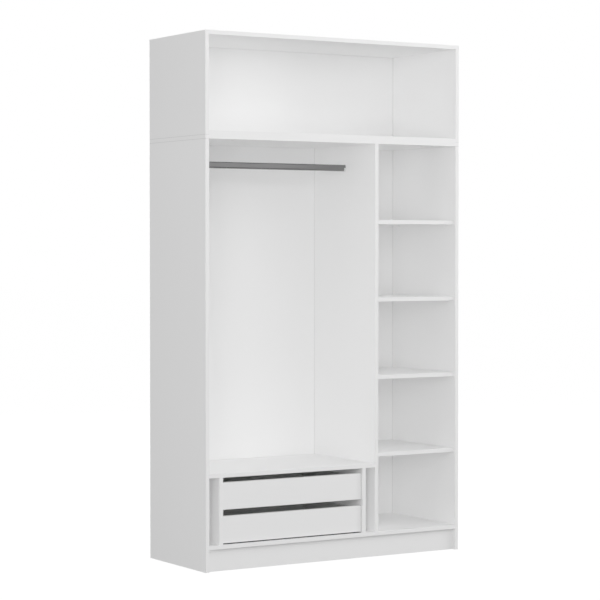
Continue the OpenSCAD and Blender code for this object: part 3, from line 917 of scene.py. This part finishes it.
def lever_boss(form):
    """The round boss that joins the lever to the runner's web."""
    profile = [
        (BOSS_RADIUS - 0.4 * MM, 7.9 * MM),
        (BOSS_RADIUS, 8.1 * MM),
        (BOSS_RADIUS, BOSS_TOP),
    ]
    form.faces.new(lathe(form, profile, 28))


def make_lever(drawer, hand):
    """Its tip points to the front, and clears the middle member with the drawer fully out."""
    runner = runner_place(f"{drawer}_{hand}_runner_outer")
    place = runner @ Matrix.Translation((LEVER_ROOT, 0, 0)) @ Matrix.Rotation(math.pi, 4, "Z")
    form = bmesh.new()
    add_copy(form, lever, place)
    add_copy(form, lever_boss, place @ Matrix.Translation((BOSS_FROM_ROOT, 0, 0)))
    new_piece(f"{drawer}_{hand}_runner_lever", form, ["black_nylon"], f"{drawer}_drawer")


def make_stops(drawer, hand):
    """Two nylon blocks inside the fixed member's mouth, which the middle member runs between."""
    node = f"{drawer}_{hand}_runner_outer"
    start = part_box(node)[0].y + MM
    end = start + STOP_LENGTH

    def build(form):
        for side in (1, -1):
            outline = rounded_bar(start, end, side * STOP_RISE, STOP_HALF_TALL, STOP_CORNER)
            prism(form, outline, STOP_NEAR, STOP_FAR)

    form = bmesh.new()
    add_copy(form, build, runner_place(node))
    new_piece(f"{drawer}_{hand}_runner_stops", form, ["black_nylon"], "carcass")


# ---- Felt strip round the drawer opening, just behind the fronts, as painted shade in the gaps ---

STRIP_THICK = 0.8 * MM
STRIP_CORNER = 0.3 * MM
# How far the strips start behind the face of the drawer fronts
STRIP_BEHIND = 0.3 * MM
SIDE_STRIP_WIDE = 12 * MM
FLOOR_STRIP_WIDE = 60 * MM
# Turns a prism so that its outline lies in YZ and its height runs along X
ALONG_X = Matrix(((0, 0, 1), (1, 0, 0), (0, 1, 0))).to_4x4()


def make_shade_felt():
    """Painted shade in the drawer gaps: on both uprights beside the fronts, and on the board under
    the lower one.
    """
    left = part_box("left_spacer")[1].x
    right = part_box("right_spacer")[0].x
    floor_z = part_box("bottom_board")[1].z
    front = front_of("lower_drawer_front") + STRIP_BEHIND
    half = STRIP_THICK / 2
    form = bmesh.new()
    for drawer in DRAWERS:
        low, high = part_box(f"{drawer}_drawer_front")
        for middle in (left + half, right - half):

            def side_strip(part):
                rear = front + SIDE_STRIP_WIDE
                outline = rounded_bar(front, rear, middle, half, STRIP_CORNER)
                prism(part, [(b, a) for a, b in outline], low.z, high.z)

            add_copy(form, side_strip, Matrix.Identity(4))

    def floor_strip(part):
        rear = front + FLOOR_STRIP_WIDE
        outline = rounded_bar(front, rear, floor_z + half, half, STRIP_CORNER)
        prism(part, outline, left + STRIP_THICK, right - STRIP_THICK)

    add_copy(form, floor_strip, ALONG_X)
    # The strips are painted shade: black where the gaps round the fronts are in shade
    new_piece("drawer_bay_shade_felt", form, ["felt"], "carcass")


# ---- Dressing the CAD nodes, and making the pieces -----------------------------------------


def dress(node, obj):
    """Gives a CAD node its material, and rounded edges where its finish has them."""
    finish = finish_of(node)
    obj.data.materials.clear()
    obj.data.materials.append(MATERIALS[finish])
    if finish in BEVELS:
        soften(obj, BEVELS[finish])


for node_name, node_object in NODES.items():
    dress(node_name, node_object)

make_cams("cam_locks", "carcass")
make_screws("panel_screws", "carcass", pan_screw)
make_screws("confirmat_screws", "carcass", confirmat)
make_connectors("unit_connectors", "carcass")
for drawer in DRAWERS:
    make_cams(f"{drawer}_drawer_cam_locks", f"{drawer}_drawer")
    make_screws(f"{drawer}_drawer_screws", f"{drawer}_drawer", pan_screw)
    for hand in HANDS:
        make_cages(drawer, hand)
        make_lever(drawer, hand)
        make_stops(drawer, hand)
make_shade_felt()

# ---- Stage: floor, world, lights, camera ---------------------------------------------


def make_floor():
    """Only the camera sees it, so it sends no light up at the object."""
    mesh = bpy.data.meshes.new("floor")
    form = bmesh.new()
    bmesh.ops.create_circle(form, cap_ends=True, segments=FLOOR_STEPS, radius=FLOOR_RADIUS)
    form.to_mesh(mesh)
    form.free()
    mesh.materials.append(MATERIALS["floor"])
    floor = bpy.data.objects.new("floor", mesh)
    floor.visible_diffuse = False
    floor.visible_glossy = False
    bpy.context.scene.collection.objects.link(floor)


def make_world():
    """White to the camera; a glow on the object, of its own strength from above and below."""
    world = bpy.data.worlds.new("studio")
    world.use_nodes = True
    nodes = world.node_tree.nodes
    link = world.node_tree.links.new
    background = nodes["Background"]
    background.inputs["Color"].default_value = (1, 1, 1, 1)
    split = nodes.new("ShaderNodeSeparateXYZ")
    link(nodes.new("ShaderNodeTexCoord").outputs["Generated"], split.inputs[0])
    up = nodes.new("ShaderNodeMapRange")
    up.interpolation_type = "LINEAR"
    link(split.outputs["Z"], up.inputs["Value"])
    up.inputs["To Min"].default_value = WORLD_LEVEL
    up.inputs["To Max"].default_value = WORLD_UP
    sky = nodes.new("ShaderNodeMapRange")
    link(split.outputs["Z"], sky.inputs["Value"])
    sky.inputs["From Min"].default_value = -1.0
    sky.inputs["From Max"].default_value = 0.0
    sky.inputs["To Min"].default_value = WORLD_DOWN - WORLD_LEVEL
    sky.inputs["To Max"].default_value = 0.0
    total = nodes.new("ShaderNodeMath")
    link(up.outputs[0], total.inputs[0])
    link(sky.outputs[0], total.inputs[1])
    seen = nodes.new("ShaderNodeMix")
    link(nodes.new("ShaderNodeLightPath").outputs["Is Camera Ray"], seen.inputs["Factor"])
    link(total.outputs[0], seen.inputs["A"])
    seen.inputs["B"].default_value = BACKDROP
    link(seen.outputs[0], background.inputs["Strength"])
    bpy.context.scene.world = world


def area_light(name, place, target, size, power):
    """A square soft box at place, facing target."""
    light = bpy.data.lights.new(name, "AREA")
    light.shape = "SQUARE"
    light.size = size
    light.energy = power
    lamp = bpy.data.objects.new(name, light)
    lamp.location = place
    aim = Vector(target) - Vector(place)
    lamp.rotation_euler = aim.to_track_quat("-Z", "Y").to_euler()
    bpy.context.scene.collection.objects.link(lamp)


def make_lights():
    for name, (place, target, size, power) in LIGHTS.items():
        area_light(name, place, target, size, power)


# Metres, degrees from +Y, degrees from level, and millimetres for the lens and its sensor
CAMERA_PLACE = (-5.0272, -8.0436, 1.4085)
CAMERA_YAW = -31.833
CAMERA_PITCH = -1.4396
CAMERA_LENS = 123.75
CAMERA_SENSOR = 36.0


def make_camera():
    data = bpy.data.cameras.new("camera")
    data.lens = CAMERA_LENS
    data.sensor_width = CAMERA_SENSOR
    camera = bpy.data.objects.new("camera", data)
    camera.location = CAMERA_PLACE
    turn = (math.radians(90 + CAMERA_PITCH), 0.0, math.radians(CAMERA_YAW))
    camera.rotation_euler = turn
    bpy.context.scene.collection.objects.link(camera)
    bpy.context.scene.camera = camera


make_floor()
make_world()
make_lights()
make_camera()
bpy.context.scene.view_settings.view_transform = "Standard"
bpy.context.scene.view_settings.gamma = DISPLAY_GAMMA
bpy.context.scene.cycles.diffuse_bounces = WHITE_BOUNCES
